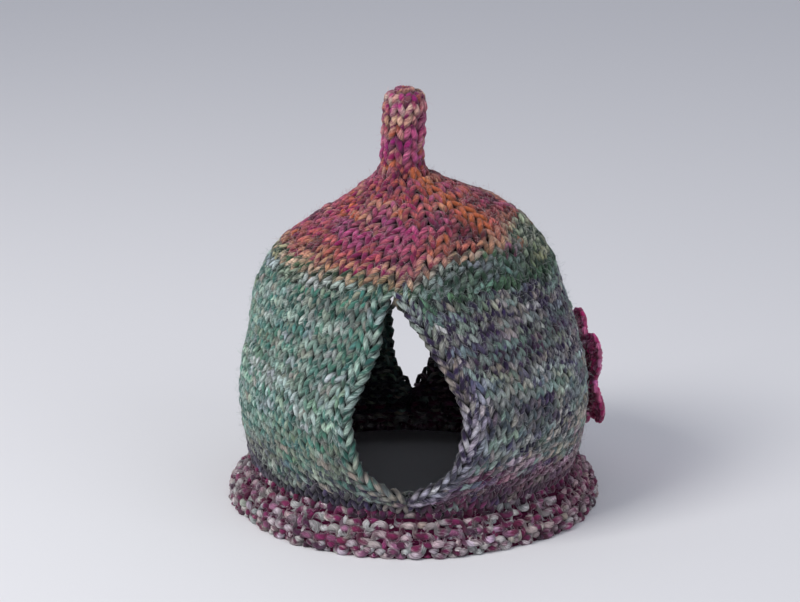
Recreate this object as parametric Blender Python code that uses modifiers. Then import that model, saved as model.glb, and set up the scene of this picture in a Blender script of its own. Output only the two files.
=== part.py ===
"""A knitted tea cosy: a hollow domed cover with a flared ribbed brim, two side openings and a stalk,
and a crocheted flower sewn to its right side. Metres, +Z up, the front opening faces -Y, and the
origin lies on the table under the middle of the brim."""

import math

import bmesh
import bpy
import numpy as np
from mathutils import Matrix, Vector

MM = 0.001

# Driving sizes of the knitted cover
HEIGHT = 175.4 * MM
WALL = 4.0 * MM
STALK_RADIUS = 8.9 * MM
STALK_BASE = 143.0 * MM
STALK_STEPS = 6
TURN_STEPS = 60

# Outer side of the cover from the table up to the foot of the stalk: height, radius in millimetres
BRIM_ROWS = (
    ("table", 0.0, 79.0),
    ("edge", 2.5, 79.6),
    ("edge_top", 5.2, 79.0),
    ("flare", 8.4, 77.0),
    ("flare_in", 11.6, 73.8),
    ("crease_out", 14.2, 70.6),
    ("crease", 16.2, 69.2),
)
WALL_ROWS = (
    ("crease", 16.2, 69.2),
    ("foot", 22.0, 70.9),
    ("low", 32.0, 73.0),
    ("widest", 46.0, 74.2),
    ("middle", 60.0, 72.8),
    ("high", 74.0, 69.4),
    ("yoke", 88.0, 66.1),
    ("shoulder", 100.0, 61.9),
    ("shoulder_top", 108.0, 56.8),
    ("crown_foot", 114.5, 50.8),
    ("crown_low", 120.0, 44.7),
    ("crown", 126.0, 36.2),
    ("crown_high", 131.0, 26.4),
    ("crown_top", 136.0, 17.3),
    ("pinch", 140.0, 11.2),
    ("stalk_foot", 143.0, 8.9),
)
BRIM_STEPS = 17
WALL_STEPS = 24
RIDGES = 4
RIDGE_HEIGHT = 0.8 * MM

# Rounded end of the stalk, in stalk radii: radius, depth below the top
STALK_END = ((1.0, 0.8), (0.88, 0.38), (0.55, 0.09), (0.0, 0.0))

# How far the middle of each level stands off the axis, towards +X: height, shift in millimetres
LEAN_ROWS = (
    ("table", 0.0, 0.0),
    ("widest", 46.0, 0.5),
    ("high", 74.0, 0.0),
    ("yoke", 90.0, -1.5),
    ("shoulder", 104.0, -1.0),
    ("shoulder_top", 113.0, 0.0),
    ("crown", 121.0, 2.2),
    ("crown_high", 126.5, 3.0),
    ("crown_top", 132.0, 0.0),
    ("pinch", 141.0, -4.4),
    ("stalk_foot", 146.0, -4.8),
    ("stalk_top", 175.4, -3.6),
)

# Decrease lines raised on the crown, and the slow waves of the brim and the sides
WEDGES = 8
WEDGE_HEIGHT = 0.8 * MM
WEDGE_FOOT, WEDGE_TOP = 104.0 * MM, 141.0 * MM
BRIM_WAVES = ((3, 0.45 * MM, 3.1), (5, 0.4 * MM, 2.6), (8, 0.3 * MM, 0.4))
SIDE_WAVES = ((3, 0.5 * MM, 1.3), (7, 0.25 * MM, 0.2))
WAVE_TOP = 18.0 * MM
WAVE_FADE = 40.0 * MM

# Outline of the front opening, from its tip down its right side and round: across, height in millimetres
FRONT_OPENING = (
    ("tip", -8.5, 104.0),
    ("right_high", -2.5, 95.0),
    ("right_neck", 5.5, 84.0),
    ("right_shoulder", 12.5, 72.0),
    ("right_wide", 18.2, 59.0),
    ("right_belly", 18.4, 49.0),
    ("right_low", 13.5, 34.0),
    ("bottom", -2.8, 23.2),
    ("left_low", -19.0, 33.0),
    ("left_belly", -24.2, 49.0),
    ("left_wide", -24.0, 59.0),
    ("left_shoulder", -18.5, 72.0),
    ("left_neck", -13.8, 84.0),
    ("left_high", -12.0, 95.0),
)
BACK_OPENING = (
    ("tip", 0.0, 101.0),
    ("right_high", 6.5, 92.0),
    ("right_wide", 10.5, 72.0),
    ("right_middle", 9.5, 54.0),
    ("right_low", 7.5, 36.0),
    ("bottom", 0.0, 24.0),
    ("left_low", -7.5, 36.0),
    ("left_middle", -9.5, 54.0),
    ("left_wide", -10.5, 72.0),
    ("left_high", -6.5, 92.0),
)
OPENING_POINTS_PER_ROW = 3

# The edges of the front opening stand out a little, as they are stretched in use
LIP_LIFT = 1.2 * MM
LIP_REACH = 14.0 * MM
LIP_MIDDLE, LIP_HALF_WIDTH = -2.8 * MM, 22.0 * MM
LIP_FOOT, LIP_TOP = 18.0 * MM, 104.0 * MM

CUT_FROM, CUT_TO = 25.0 * MM, 100.0 * MM
SOFT_ANGLE = math.radians(50.0)

# The flower on the right side: its place on the wall and its petals
PETALS = 5
FLOWER_RADIUS = 25.5 * MM
FLOWER_THICKNESS = 2.6 * MM
FLOWER_BEARING = math.radians(107.0)
FLOWER_HEIGHT = 47.0 * MM
FLOWER_TILT = math.radians(4.0)
FLOWER_STEPS = 50
FLOWER_RINGS = 8
FIRST_PETAL = math.radians(54.0)
NOTCH = 0.50
PETAL_ROUNDNESS = 0.55
PETAL_RIPPLE = 0.16
PETAL_CURL = 1.6
PETAL_LIFT = 2.8 * MM
HEART_RADIUS = 6.5 * MM
HEART_LIFT = 1.6 * MM
SEWN_GAP = 0.8 * MM
# Share of the wall's own curve that the petals follow
WRAP = 0.8

MERGE = 0.00001


def clear_scene():
    """Starts from nothing, so that the file can be run again."""
    for ob in list(bpy.data.objects):
        bpy.data.objects.remove(ob, do_unlink=True)


def make_collection(name):
    """A collection linked to the scene."""
    group = bpy.data.collections.new(name)
    bpy.context.scene.collection.children.link(group)
    return group


def yarn_material(name, colour, roughness):
    """Plain wool: no metal, a matt surface."""
    material = bpy.data.materials.new(name)
    material.use_nodes = True
    shader = material.node_tree.nodes["Principled BSDF"]
    shader.inputs["Base Color"].default_value = (*colour, 1.0)
    shader.inputs["Roughness"].default_value = roughness
    shader.inputs["Metallic"].default_value = 0.0
    return material


def smooth_curve(points, count, closed=False):
    """Points spread along a Catmull-Rom curve through the given ones, by equal steps of length."""
    p = np.array(points, float)
    if closed:
        p = np.vstack([p[-1], p, p[:2]])
    else:
        p = np.vstack([2 * p[0] - p[1], p, 2 * p[-1] - p[-2]])
    fine = []
    for a, b, c, d in zip(p[:-3], p[1:-2], p[2:-1], p[3:]):
        for t in np.linspace(0.0, 1.0, 12, endpoint=False):
            fine.append(
                0.5 * (2 * b + (c - a) * t + (2 * a - 5 * b + 4 * c - d) * t**2
                       + (3 * b - a - 3 * c + d) * t**3)
            )
    fine.append(p[-2])
    fine = np.array(fine)
    along = np.concatenate([[0.0], np.cumsum(np.linalg.norm(np.diff(fine, axis=0), axis=1))])
    want = np.linspace(0.0, along[-1], count, endpoint=not closed)
    return np.column_stack([np.interp(want, along, fine[:, k]) for k in range(p.shape[1])])


def outward(points):
    """Unit normals of a profile that runs up its outer side, pointing away from the axis."""
    along = np.gradient(points, axis=0)
    normals = np.column_stack([along[:, 1], -along[:, 0]])
    return normals / np.linalg.norm(normals, axis=1)[:, None]


def cover_profile():
    """Radius and height of the closed section, from the top of the stalk down outside and up inside."""
    brim = smooth_curve([(r * MM, z * MM) for _, z, r in BRIM_ROWS], BRIM_STEPS)
    wall = smooth_curve([(r * MM, z * MM) for _, z, r in WALL_ROWS], WALL_STEPS)
    ridge = np.abs(np.sin(np.linspace(0.0, RIDGES * math.pi, BRIM_STEPS))) - 0.5
    ridge[0] = 0.0
    ridged = brim + outward(brim) * (RIDGE_HEIGHT * ridge)[:, None]
    ridged[0, 1] = 0.0
    stalk_end = [(STALK_RADIUS * r, HEIGHT - STALK_RADIUS * depth) for r, depth in STALK_END]
    stalk = [(STALK_RADIUS, z) for z in np.linspace(STALK_BASE, stalk_end[0][1], STALK_STEPS)[1:-1]]
    outer = np.vstack([ridged, wall[1:], stalk, stalk_end])

    skin = np.vstack([brim[::4], wall[2::2]])
    inner = skin - outward(skin) * WALL
    inner[0] = (brim[0, 0] - WALL, 0.0)
    inner = inner[inner[:, 0] > STALK_RADIUS]
    inside_top = (0.0, inner[-1, 1] + WALL / 2)
    return np.vstack([outer[::-1], inner, inside_top])


def bearing_of(x, y):
    """Angle round the axis from the front, -Y, towards +X."""
    return np.arctan2(x, -y)


def lean_at(z):
    """Shift of a level towards +X."""
    return float(np.interp(z, [row[1] * MM for row in LEAN_ROWS], [row[2] * MM for row in LEAN_ROWS]))


def swell(x, y, z):
    """How far the fabric stands out from the plain turned shape here: waves, decrease lines and lips."""
    bearing = bearing_of(x, y)
    low = 1.0 - min(z / WAVE_TOP, 1.0)
    high = 1.0 - low
    out = low * sum(a * math.sin(n * bearing + start) for n, a, start in BRIM_WAVES)
    up = min(max((STALK_BASE - z) / WAVE_FADE, 0.0), 1.0)
    out += high * up * sum(a * math.sin(n * bearing + start) for n, a, start in SIDE_WAVES)
    if WEDGE_FOOT < z < WEDGE_TOP:
        fade = math.sin(math.pi * (z - WEDGE_FOOT) / (WEDGE_TOP - WEDGE_FOOT))
        out += WEDGE_HEIGHT * fade * math.cos(WEDGES * bearing)
    if y < 0 and LIP_FOOT < z < LIP_TOP:
        rise = math.sin(math.pi * (z - LIP_FOOT) / (LIP_TOP - LIP_FOOT))
        from_edge = abs(x - LIP_MIDDLE) - LIP_HALF_WIDTH
        out += LIP_LIFT * rise * math.exp(-((from_edge / LIP_REACH) ** 2))
    return out


def uneven(point):
    """Moves a point of the plain turned shape to where the real, uneven fabric lies."""
    radius = math.hypot(point.x, point.y)
    if radius < MERGE:
        return Vector((point.x + lean_at(point.z), point.y, point.z))
    grow = swell(point.x, point.y, point.z) / radius if point.z < STALK_BASE else 0.0
    return Vector((point.x * (1 + grow) + lean_at(point.z), point.y * (1 + grow), point.z))


def as_mesh_object(ob, collection):
    """Replaces an object by a plain mesh of what its modifiers make of it."""
    graph = bpy.context.evaluated_depsgraph_get()
    mesh = bpy.data.meshes.new_from_object(ob.evaluated_get(graph))
    name, place = ob.name, ob.matrix_world.copy()
    bpy.data.objects.remove(ob, do_unlink=True)
    mesh.name = name
    plain = bpy.data.objects.new(name, mesh)
    plain.matrix_world = place
    collection.objects.link(plain)
    work = bmesh.new()
    work.from_mesh(mesh)
    bmesh.ops.remove_doubles(work, verts=work.verts, dist=MERGE)
    work.to_mesh(mesh)
    work.free()
    return plain


def turned(name, profile, steps, collection):
    """A profile in the XZ plane turned about Z."""
    mesh = bpy.data.meshes.new(name)
    points = [(r, 0.0, z) for r, z in profile]
    mesh.from_pydata(points, [(i, i + 1) for i in range(len(points) - 1)], [])
    ob = bpy.data.objects.new(name, mesh)
    collection.objects.link(ob)
    screw = ob.modifiers.new("turn", "SCREW")
    screw.axis = "Z"
    screw.angle = 2 * math.pi
    screw.steps = steps
    screw.render_steps = steps
    screw.use_merge_vertices = True
    screw.merge_threshold = MERGE
    return as_mesh_object(ob, collection)


def opening_cutter(name, outline, front, collection):
    """A prism through one side of the cover, with the outline of an opening."""
    corners = [(x * MM, z * MM) for _, x, z in outline]
    rim = smooth_curve(corners, len(corners) * OPENING_POINTS_PER_ROW, closed=True)
    curve = bpy.data.curves.new(name, "CURVE")
    curve.dimensions = "2D"
    curve.fill_mode = "BOTH"
    curve.extrude = (CUT_TO - CUT_FROM) / 2
    line = curve.splines.new("POLY")
    line.points.add(len(rim) - 1)
    for point, (x, z) in zip(line.points, rim):
        point.co = (x, z, 0.0, 1.0)
    line.use_cyclic_u = True
    ob = bpy.data.objects.new(name, curve)
    collection.objects.link(ob)
    middle = (CUT_FROM + CUT_TO) / 2
    ob.location = (0.0, -middle if front else middle, 0.0)
    ob.rotation_euler = (math.pi / 2, 0.0, 0.0)
    bpy.context.view_layer.update()
    cutter = as_mesh_object(ob, collection)
    cutter.hide_render = True
    cutter.display_type = "WIRE"
    return cutter


def cut(ob, cutter):
    """Takes one object away from another."""
    away = ob.modifiers.new("cut " + cutter.name, "BOOLEAN")
    away.operation = "DIFFERENCE"
    away.solver = "EXACT"
    away.object = cutter


def make_cosy(parts, cutters, material):
    """The knitted cover with its brim, openings, crown and stalk, as one hollow solid."""
    cosy = turned("cosy", cover_profile(), TURN_STEPS, parts)
    for vertex in cosy.data.vertices:
        vertex.co = uneven(vertex.co)
    cosy.data.materials.append(material)
    cut(cosy, opening_cutter("front_opening", FRONT_OPENING, True, cutters))
    cut(cosy, opening_cutter("back_opening", BACK_OPENING, False, cutters))
    cosy = as_mesh_object(cosy, parts)
    cosy.data.shade_smooth()
    cosy.data.set_sharp_from_angle(angle=SOFT_ANGLE)
    return cosy


def petal_reach(turn):
    """Share of the flower's radius that its edge reaches at this angle."""
    lobe = abs(math.cos(PETALS * (turn - FIRST_PETAL) / 2)) ** PETAL_ROUNDNESS
    return NOTCH + (1 - NOTCH) * lobe


def petal_lift(share, turn):
    """Height of the flower's back over the wall: a sewn ring, a raised heart and lifted petals."""
    reach = share * petal_reach(turn)
    heart = max(0.0, 1 - reach * FLOWER_RADIUS / HEART_RADIUS)
    ripple = PETAL_RIPPLE * math.cos(PETALS * (turn - FIRST_PETAL)) * reach
    return HEART_LIFT * heart**2 + PETAL_LIFT * reach**PETAL_CURL * (1 + ripple)


def make_flower(parts, material):
    """The crocheted flower: five cupped petals round a raised heart, as one solid."""
    line = [(FLOWER_RADIUS * k / FLOWER_RINGS, 0.0) for k in range(FLOWER_RINGS, -1, -1)]
    flower = turned("flower", line, FLOWER_STEPS, parts)
    heights, radii = [row[1] * MM for row in WALL_ROWS], [row[2] * MM for row in WALL_ROWS]
    wall = float(np.interp(FLOWER_HEIGHT, heights, radii))
    for vertex in flower.data.vertices:
        share = math.hypot(vertex.co.x, vertex.co.y) / FLOWER_RADIUS
        turn = math.atan2(vertex.co.x, vertex.co.y)
        reach = FLOWER_RADIUS * share * petal_reach(turn)
        across, up = reach * math.sin(turn), reach * math.cos(turn)
        vertex.co = (across, up, petal_lift(share, turn) - WRAP * across**2 / (2 * wall))
    thick = flower.modifiers.new("thickness", "SOLIDIFY")
    thick.thickness = FLOWER_THICKNESS
    thick.offset = -1.0
    flower = as_mesh_object(flower, parts)
    work = bmesh.new()
    work.from_mesh(flower.data)
    bmesh.ops.recalc_face_normals(work, faces=work.faces)
    work.to_mesh(flower.data)
    work.free()

    away = Vector((math.sin(FLOWER_BEARING), -math.cos(FLOWER_BEARING), 0.0))
    foot = away * (wall + SEWN_GAP) + Vector((lean_at(FLOWER_HEIGHT), 0.0, FLOWER_HEIGHT))
    out = (away * math.cos(FLOWER_TILT) + Vector((0.0, 0.0, math.sin(FLOWER_TILT)))).normalized()
    across = Vector((0.0, 0.0, 1.0)).cross(out).normalized()
    up = out.cross(across).normalized()
    place = Matrix.Translation(foot) @ Matrix((-across, up, out)).transposed().to_4x4()
    flower.data.transform(place)
    flower.data.flip_normals()
    flower.data.materials.clear()
    flower.data.materials.append(material)
    flower.data.shade_smooth()
    flower.data.set_sharp_from_angle(angle=SOFT_ANGLE)
    return flower


clear_scene()
tea_cosy = make_collection("tea_cosy")
guides = make_collection("cutters")
make_cosy(tea_cosy, guides, yarn_material("wool", (0.33, 0.42, 0.38), 0.95))
make_flower(tea_cosy, yarn_material("flower_wool", (0.42, 0.04, 0.2), 0.92))
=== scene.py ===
"""A knitted tea cosy with a crocheted flower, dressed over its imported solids: every stitch is a loop of
two-ply wool, from the garter-stitch brim up to the stalk. Metres, +Z up, the front opening faces -Y."""

import math

import bmesh
import bpy
import numpy as np
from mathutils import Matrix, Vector


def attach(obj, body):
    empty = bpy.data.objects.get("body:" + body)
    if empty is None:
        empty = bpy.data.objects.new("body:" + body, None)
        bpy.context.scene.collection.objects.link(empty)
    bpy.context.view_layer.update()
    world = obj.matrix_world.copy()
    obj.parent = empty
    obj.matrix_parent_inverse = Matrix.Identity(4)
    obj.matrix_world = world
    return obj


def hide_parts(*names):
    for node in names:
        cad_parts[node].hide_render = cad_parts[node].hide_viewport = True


MM = 0.001

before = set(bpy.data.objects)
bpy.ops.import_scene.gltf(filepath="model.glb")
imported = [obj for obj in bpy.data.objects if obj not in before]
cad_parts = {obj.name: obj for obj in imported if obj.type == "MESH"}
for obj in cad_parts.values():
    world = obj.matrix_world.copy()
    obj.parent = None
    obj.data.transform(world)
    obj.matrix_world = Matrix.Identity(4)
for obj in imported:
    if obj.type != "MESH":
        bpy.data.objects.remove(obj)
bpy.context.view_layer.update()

# ---------------------------------------------------------------- Viewpoint
# A camera a little above the table and about 0.9 m off, tipped down at the cosy.
CAMERA_PLACE = (-5.7 * MM, -840.3 * MM, 322.4 * MM)
CAMERA_TIP = math.radians(15.81)

lens = bpy.data.cameras.new("camera")
lens.sensor_width = 36.0
lens.lens = 93.0
lens.clip_start = 0.01
camera = bpy.data.objects.new("camera", lens)
camera.location = CAMERA_PLACE
camera.rotation_euler = (math.pi / 2 - CAMERA_TIP, 0.0, 0.0)
bpy.context.scene.collection.objects.link(camera)
bpy.context.scene.camera = camera

# ---------------------------------------------------------------- Brim
# Cast on at the hem and worked in garter stitch: four ridges of purl bumps in a magenta and cream marl.
# The wool is a soft two-ply, about 3 mm thick, and every stitch is a loop that hangs in the round below.
BRIM_SIDE = (
    (79.0, 0.0), (79.6, 2.5), (79.0, 5.2), (77.0, 8.4), (73.8, 11.6), (70.6, 14.2), (69.2, 16.2),
)
# How far the middle of each level stands off the axis, towards +X: height, shift in millimetres
LEAN = (
    (0.0, 0.0), (46.0, 0.5), (74.0, 0.0), (90.0, -1.5), (104.0, -1.0), (113.0, 0.0), (121.0, 2.2),
    (126.5, 3.0), (132.0, 0.0), (141.0, -4.4), (146.0, -4.8), (175.4, -3.6),
)
BRIM_WAVES = ((3, 0.45, 3.1), (5, 0.4, 2.6), (8, 0.3, 0.4))
SIDE_WAVES = ((3, 0.5, 1.3), (7, 0.25, 0.2))
WAVE_TOP, WAVE_FADE, STALK_FOOT = 18.0, 40.0, 143.0
WEDGES, WEDGE_RIDGE, WEDGE_FOOT, WEDGE_TOP = 8, 0.8, 104.0, 141.0
LIP_LIFT, LIP_REACH, LIP_MIDDLE, LIP_HALF_WIDTH = 1.2, 14.0, -2.8, 22.0
LIP_FOOT, LIP_TOP = 18.0, 104.0

BRIM_STITCHES = 48
BRIM_RIDGES = 4
BRIM_FIRST, BRIM_PITCH = 3.7, 4.75
BRIM_YARN = 1.42

rng = np.random.default_rng(17)


def linear(red, green, blue):
    """A colour as a dyer would match it, 0 to 255, in linear light."""
    part = np.array((red, green, blue)) / 255.0
    return np.where(part <= 0.04045, part / 12.92, ((part + 0.055) / 1.055) ** 2.4)


def lean_at(height):
    """Shift of a level towards +X, in millimetres."""
    return np.interp(height, [row[0] for row in LEAN], [row[1] for row in LEAN])


def swell(height, bearing, radius):
    """How far the fabric stands out from the plain turned shape, in millimetres."""
    low = 1.0 - np.clip(height / WAVE_TOP, 0.0, 1.0)
    out = low * sum(a * np.sin(n * bearing + start) for n, a, start in BRIM_WAVES)
    up = np.clip((STALK_FOOT - height) / WAVE_FADE, 0.0, 1.0)
    out = out + (1.0 - low) * up * sum(a * np.sin(n * bearing + start) for n, a, start in SIDE_WAVES)
    share = np.clip((height - WEDGE_FOOT) / (WEDGE_TOP - WEDGE_FOOT), 0.0, 1.0)
    out = out + WEDGE_RIDGE * np.sin(math.pi * share) * np.cos(WEDGES * bearing)
    share = np.clip((height - LIP_FOOT) / (LIP_TOP - LIP_FOOT), 0.0, 1.0)
    from_edge = np.abs(radius * np.sin(bearing) - LIP_MIDDLE) - LIP_HALF_WIDTH
    lip = LIP_LIFT * np.sin(math.pi * share) * np.exp(-((from_edge / LIP_REACH) ** 2))
    return out + np.where(np.cos(bearing) > 0.0, lip, 0.0)


def smooth_line(points, steps=12):
    """A Catmull-Rom line through the points, finely divided."""
    p = np.array(points, float)
    p = np.vstack([2 * p[0] - p[1], p, 2 * p[-1] - p[-2]])
    t = np.linspace(0.0, 1.0, steps, endpoint=False)[:, None]
    parts = [
        0.5 * (2 * b + (c - a) * t + (2 * a - 5 * b + 4 * c - d) * t**2 + (3 * b - a - 3 * c + d) * t**3)
        for a, b, c, d in zip(p[:-3], p[1:-2], p[2:-1], p[3:])
    ]
    return np.vstack(parts + [p[-2:-1]])


def lengths(points):
    """Distance run along a line at each of its points."""
    return np.concatenate([[0.0], np.cumsum(np.linalg.norm(np.diff(points, axis=0), axis=1))])


class Side:
    """One stretch of the cover's outer side, turned round the axis, that rounds of knitting lie on."""

    def __init__(self, points):
        self.line = smooth_line(points)
        self.run = lengths(self.line)
        slope = np.gradient(self.line, axis=0)
        slope /= np.linalg.norm(slope, axis=1)[:, None]
        self.normal = np.column_stack([slope[:, 1], -slope[:, 0]])
        self.length = self.run[-1]

    def radius(self, run):
        return np.interp(run, self.run, self.line[:, 0])

    def height(self, run):
        return np.interp(run, self.run, self.line[:, 1])

    def run_at(self, height):
        return np.interp(height, self.line[:, 1], self.run)

    def place(self, run, bearing, depth):
        """Points, in millimetres, at a distance up the side, an angle from the front and a depth below it."""
        radius, height = self.radius(run), self.height(run)
        over = swell(height, bearing, radius)
        radius = radius + over - depth * np.interp(run, self.run, self.normal[:, 0])
        level = height - depth * np.interp(run, self.run, self.normal[:, 1])
        return np.column_stack([
            radius * np.sin(bearing) + lean_at(height), -radius * np.cos(bearing), level + 0.0 * bearing,
        ])


def unit(vectors):
    """Vectors brought to length 1."""
    return vectors / np.maximum(np.linalg.norm(vectors, axis=1), 1e-9)[:, None]


class Guide:
    """Lines that the yarn follows, with a vertex at each gap between two stitches. Millimetres."""

    def __init__(self):
        self.rows = {key: [] for key in ("co", "stitch", "face", "start", "along", "up", "out", "ply_a", "ply_b")}
        self.edges = []
        self.total = 0

    def line(self, co, up, out, plies, stitch=None, along=None, face=1.0):
        """One row: where it runs, a step up to the next row, the way out, and the colours of both plies.
        Its face is 1 for knit stitches, whose legs stand out, and -1 for purl, whose bumps do."""
        count = len(co)
        if along is None:
            along = np.gradient(co, axis=0)
        given = dict(co=co, stitch=np.arange(count) if stitch is None else stitch, face=np.full(count, face),
                     start=np.full(count, rng.uniform(0.0, 9.0)), along=along, up=up, out=out, ply_a=plies[0], ply_b=plies[1])
        for key, value in given.items():
            self.rows[key].append(np.asarray(value, float))
        self.edges += [(self.total + k, self.total + k + 1) for k in range(count - 1)]
        self.total += count

    def mesh(self, name):
        """The lines as a mesh of loose edges, with what the yarn needs stored on its vertices."""
        data = {key: np.concatenate(value) for key, value in self.rows.items()}
        mesh = bpy.data.meshes.new(name)
        mesh.from_pydata((data["co"] * MM).tolist(), self.edges, [])
        for key in ("stitch", "face", "start"):
            mesh.attributes.new(key, "FLOAT", "POINT").data.foreach_set("value", data[key])
        for key, scale in (("along", MM), ("up", MM), ("out", 1.0)):
            kept = mesh.attributes.new(key, "FLOAT_VECTOR", "POINT")
            kept.data.foreach_set("vector", (data[key] * scale).ravel())
        for key in ("ply_a", "ply_b"):
            kept = mesh.attributes.new(key, "FLOAT_COLOR", "POINT")
            kept.data.foreach_set("color", np.column_stack([data[key], np.ones(self.total)]).ravel())
        return mesh


class Wire:
    """A number on its way through a node tree; an expression on it adds the Math nodes that it needs."""

    def __init__(self, graph, socket):
        self.graph, self.socket = graph, socket

    def math(self, operation, *others):
        return self.graph.add("ShaderNodeMath", {"operation": operation}, dict(enumerate([self, *others]))).wire()

    def __add__(self, other): return self.math("ADD", other)
    def __radd__(self, other): return self.math("ADD", other)
    def __sub__(self, other): return self.math("SUBTRACT", other)
    def __rsub__(self, other): return (self * -1.0).math("ADD", other)
    def __mul__(self, other): return self.math("MULTIPLY", other)
    def __rmul__(self, other): return self.math("MULTIPLY", other)
    def sin(self): return self.math("SINE")
    def cos(self): return self.math("COSINE")
    def size(self): return self.math("ABSOLUTE")
    def clamp(self): return self.math("MINIMUM", 1.0).math("MAXIMUM", 0.0)


class Made:
    """A node just made, whose outputs are taken by name or by number."""

    def __init__(self, graph, node):
        self.graph, self.node = graph, node

    def out(self, name=0):
        shown = [socket for socket in self.node.outputs if socket.enabled]
        return shown[name] if isinstance(name, int) else next(s for s in shown if s.name == name)

    def wire(self, name=0):
        return Wire(self.graph, self.out(name))


class Graph:
    """A node tree that grows by one method: a node's type, its settings, then its inputs."""

    def __init__(self, tree):
        self.tree = tree

    def add(self, kind, settings=None, inputs=None):
        node = self.tree.nodes.new(kind)
        for key, value in (settings or {}).items():
            setattr(node, key, value)
        shown = [socket for socket in node.inputs if socket.enabled]
        for key, value in (inputs or {}).items():
            socket = shown[key] if isinstance(key, int) else next(s for s in shown if s.name == key)
            value = getattr(value, "socket", value)
            if isinstance(value, bpy.types.NodeSocket):
                self.tree.links.new(value, socket)
            else:
                socket.default_value = value
        return Made(self, node)


def new_tree(name, inputs):
    """An empty geometry tree with its named inputs."""
    tree = bpy.data.node_groups.new(name, "GeometryNodeTree")
    tree.interface.new_socket("Geometry", in_out="INPUT", socket_type="NodeSocketGeometry")
    tree.interface.new_socket("Geometry", in_out="OUTPUT", socket_type="NodeSocketGeometry")
    for label, kind in inputs:
        tree.interface.new_socket(label, in_out="INPUT", socket_type="NodeSocket" + kind)
    return Graph(tree)


def finish_tree(graph, geometry, given):
    """The end of every tree: real meshes with their material."""
    real = graph.add("GeometryNodeRealizeInstances", {}, {"Geometry": geometry})
    done = graph.add("GeometryNodeSetMaterial", {}, {"Geometry": real.out(), "Material": given.out("Material")})
    graph.add("NodeGroupOutput", {}, {"Geometry": done.out()})
    return graph.tree


def yarn_tree():
    """Turns each guide line into a row of knitted loops of yarn."""
    g = new_tree("Knitted Rows", (
        ("Yarn Radius", "Float"), ("Loop Height", "Float"), ("Waist", "Float"), ("Depth", "Float"),
        ("Steps", "Int"), ("Sides", "Int"), ("Looseness", "Float"), ("Seed", "Float"),
        ("Fullness", "Float"), ("Material", "Material"),
    ))
    given = g.add("NodeGroupInput")

    def stored(label, kind="FLOAT_VECTOR"):
        return g.add("GeometryNodeInputNamedAttribute", {"data_type": kind}, {"Name": label})

    def scaled(vector, amount):
        return g.add("ShaderNodeVectorMath", {"operation": "SCALE"}, {"Vector": vector, "Scale": amount}).out()

    def added(first, second):
        return g.add("ShaderNodeVectorMath", {"operation": "ADD"}, {0: first, 1: second}).out()

    lines = g.add("GeometryNodeMeshToCurve", {}, {"Mesh": given.out("Geometry")})
    fine = g.add("GeometryNodeSubdivideCurve", {}, {"Curve": lines.out(), "Cuts": given.wire("Steps") - 1.0})
    turn = stored("stitch", "FLOAT").wire() * (2 * math.pi) + math.pi
    noise = g.add("ShaderNodeTexNoise", {"noise_dimensions": "4D"}, {
        "Vector": g.add("GeometryNodeInputPosition").out(), "W": given.out("Seed"), "Scale": 220.0, "Detail": 0.0,
    })
    wobble = g.add("ShaderNodeVectorMath", {"operation": "SUBTRACT"}, {0: noise.out("Color"), 1: (0.5,) * 3}).out()
    across = (turn * 2.0).sin() * given.wire("Waist") * (1 / (2 * math.pi))
    rise = turn.cos() * given.wire("Loop Height")
    stand = (turn * 2.0).cos() * stored("face", "FLOAT").wire() * -1.0
    forward = stand * given.wire("Depth")
    shift = added(
        added(scaled(stored("along").out(), across), scaled(stored("up").out(), rise)),
        added(scaled(stored("out").out(), forward), scaled(wobble, given.out("Looseness"))),
    )
    bent = g.add("GeometryNodeSetPosition", {}, {"Geometry": fine.out(), "Offset": shift})
    framed = g.add("GeometryNodeSetCurveNormal", {"mode": "FREE"}, {"Curve": bent.out(), "Normal": stored("out").out()})
    run = g.add("GeometryNodeStoreNamedAttribute", {"data_type": "FLOAT", "domain": "POINT"}, {
        "Geometry": framed.out(), "Name": "run",
        "Value": g.add("GeometryNodeSplineParameter").wire("Length") + stored("start", "FLOAT").wire(),
    })
    raised = g.add("GeometryNodeStoreNamedAttribute", {"data_type": "FLOAT", "domain": "POINT"}, {
        "Geometry": run.out(), "Name": "raised", "Value": stand * 0.5 + 0.5,
    })
    ring = g.add("GeometryNodeCurvePrimitiveCircle", {}, {
        "Resolution": given.out("Sides"), "Radius": given.out("Yarn Radius"),
    })
    around = g.add("ShaderNodeVectorMath", {"operation": "NORMALIZE"}, {0: g.add("GeometryNodeInputPosition").out()})
    ring = g.add("GeometryNodeStoreNamedAttribute", {"data_type": "FLOAT_VECTOR", "domain": "POINT"}, {
        "Geometry": ring.out(), "Name": "around", "Value": around.out(),
    })
    tube = g.add("GeometryNodeCurveToMesh", {}, {
        "Curve": raised.out(), "Profile Curve": ring.out(),
        "Scale": (stored("raised", "FLOAT").wire() * 2.0 - 1.0) * given.wire("Fullness") + 1.0,
        "Fill Caps": True,
    })
    smooth = g.add("GeometryNodeSetShadeSmooth", {}, {"Geometry": tube.out(), "Shade Smooth": True})
    return finish_tree(g, smooth.out(), given)


def grow(name, mesh, tree, **inputs):
    """Runs a tree on a mesh and keeps the result as a plain mesh object."""
    start = bpy.data.objects.new(name + "_guide", mesh)
    bpy.context.scene.collection.objects.link(start)
    made = start.modifiers.new("made", "NODES")
    made.node_group = tree
    sockets = {item.name: item.identifier for item in tree.interface.items_tree if item.in_out == "INPUT"}
    for label, value in inputs.items():
        made[sockets[label.replace("_", " ")]] = value
    graph = bpy.context.evaluated_depsgraph_get()
    result = bpy.data.meshes.new_from_object(start.evaluated_get(graph))
    result.name = name
    bpy.data.objects.remove(start, do_unlink=True)
    piece = bpy.data.objects.new(name, result)
    bpy.context.scene.collection.objects.link(piece)
    return piece


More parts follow.
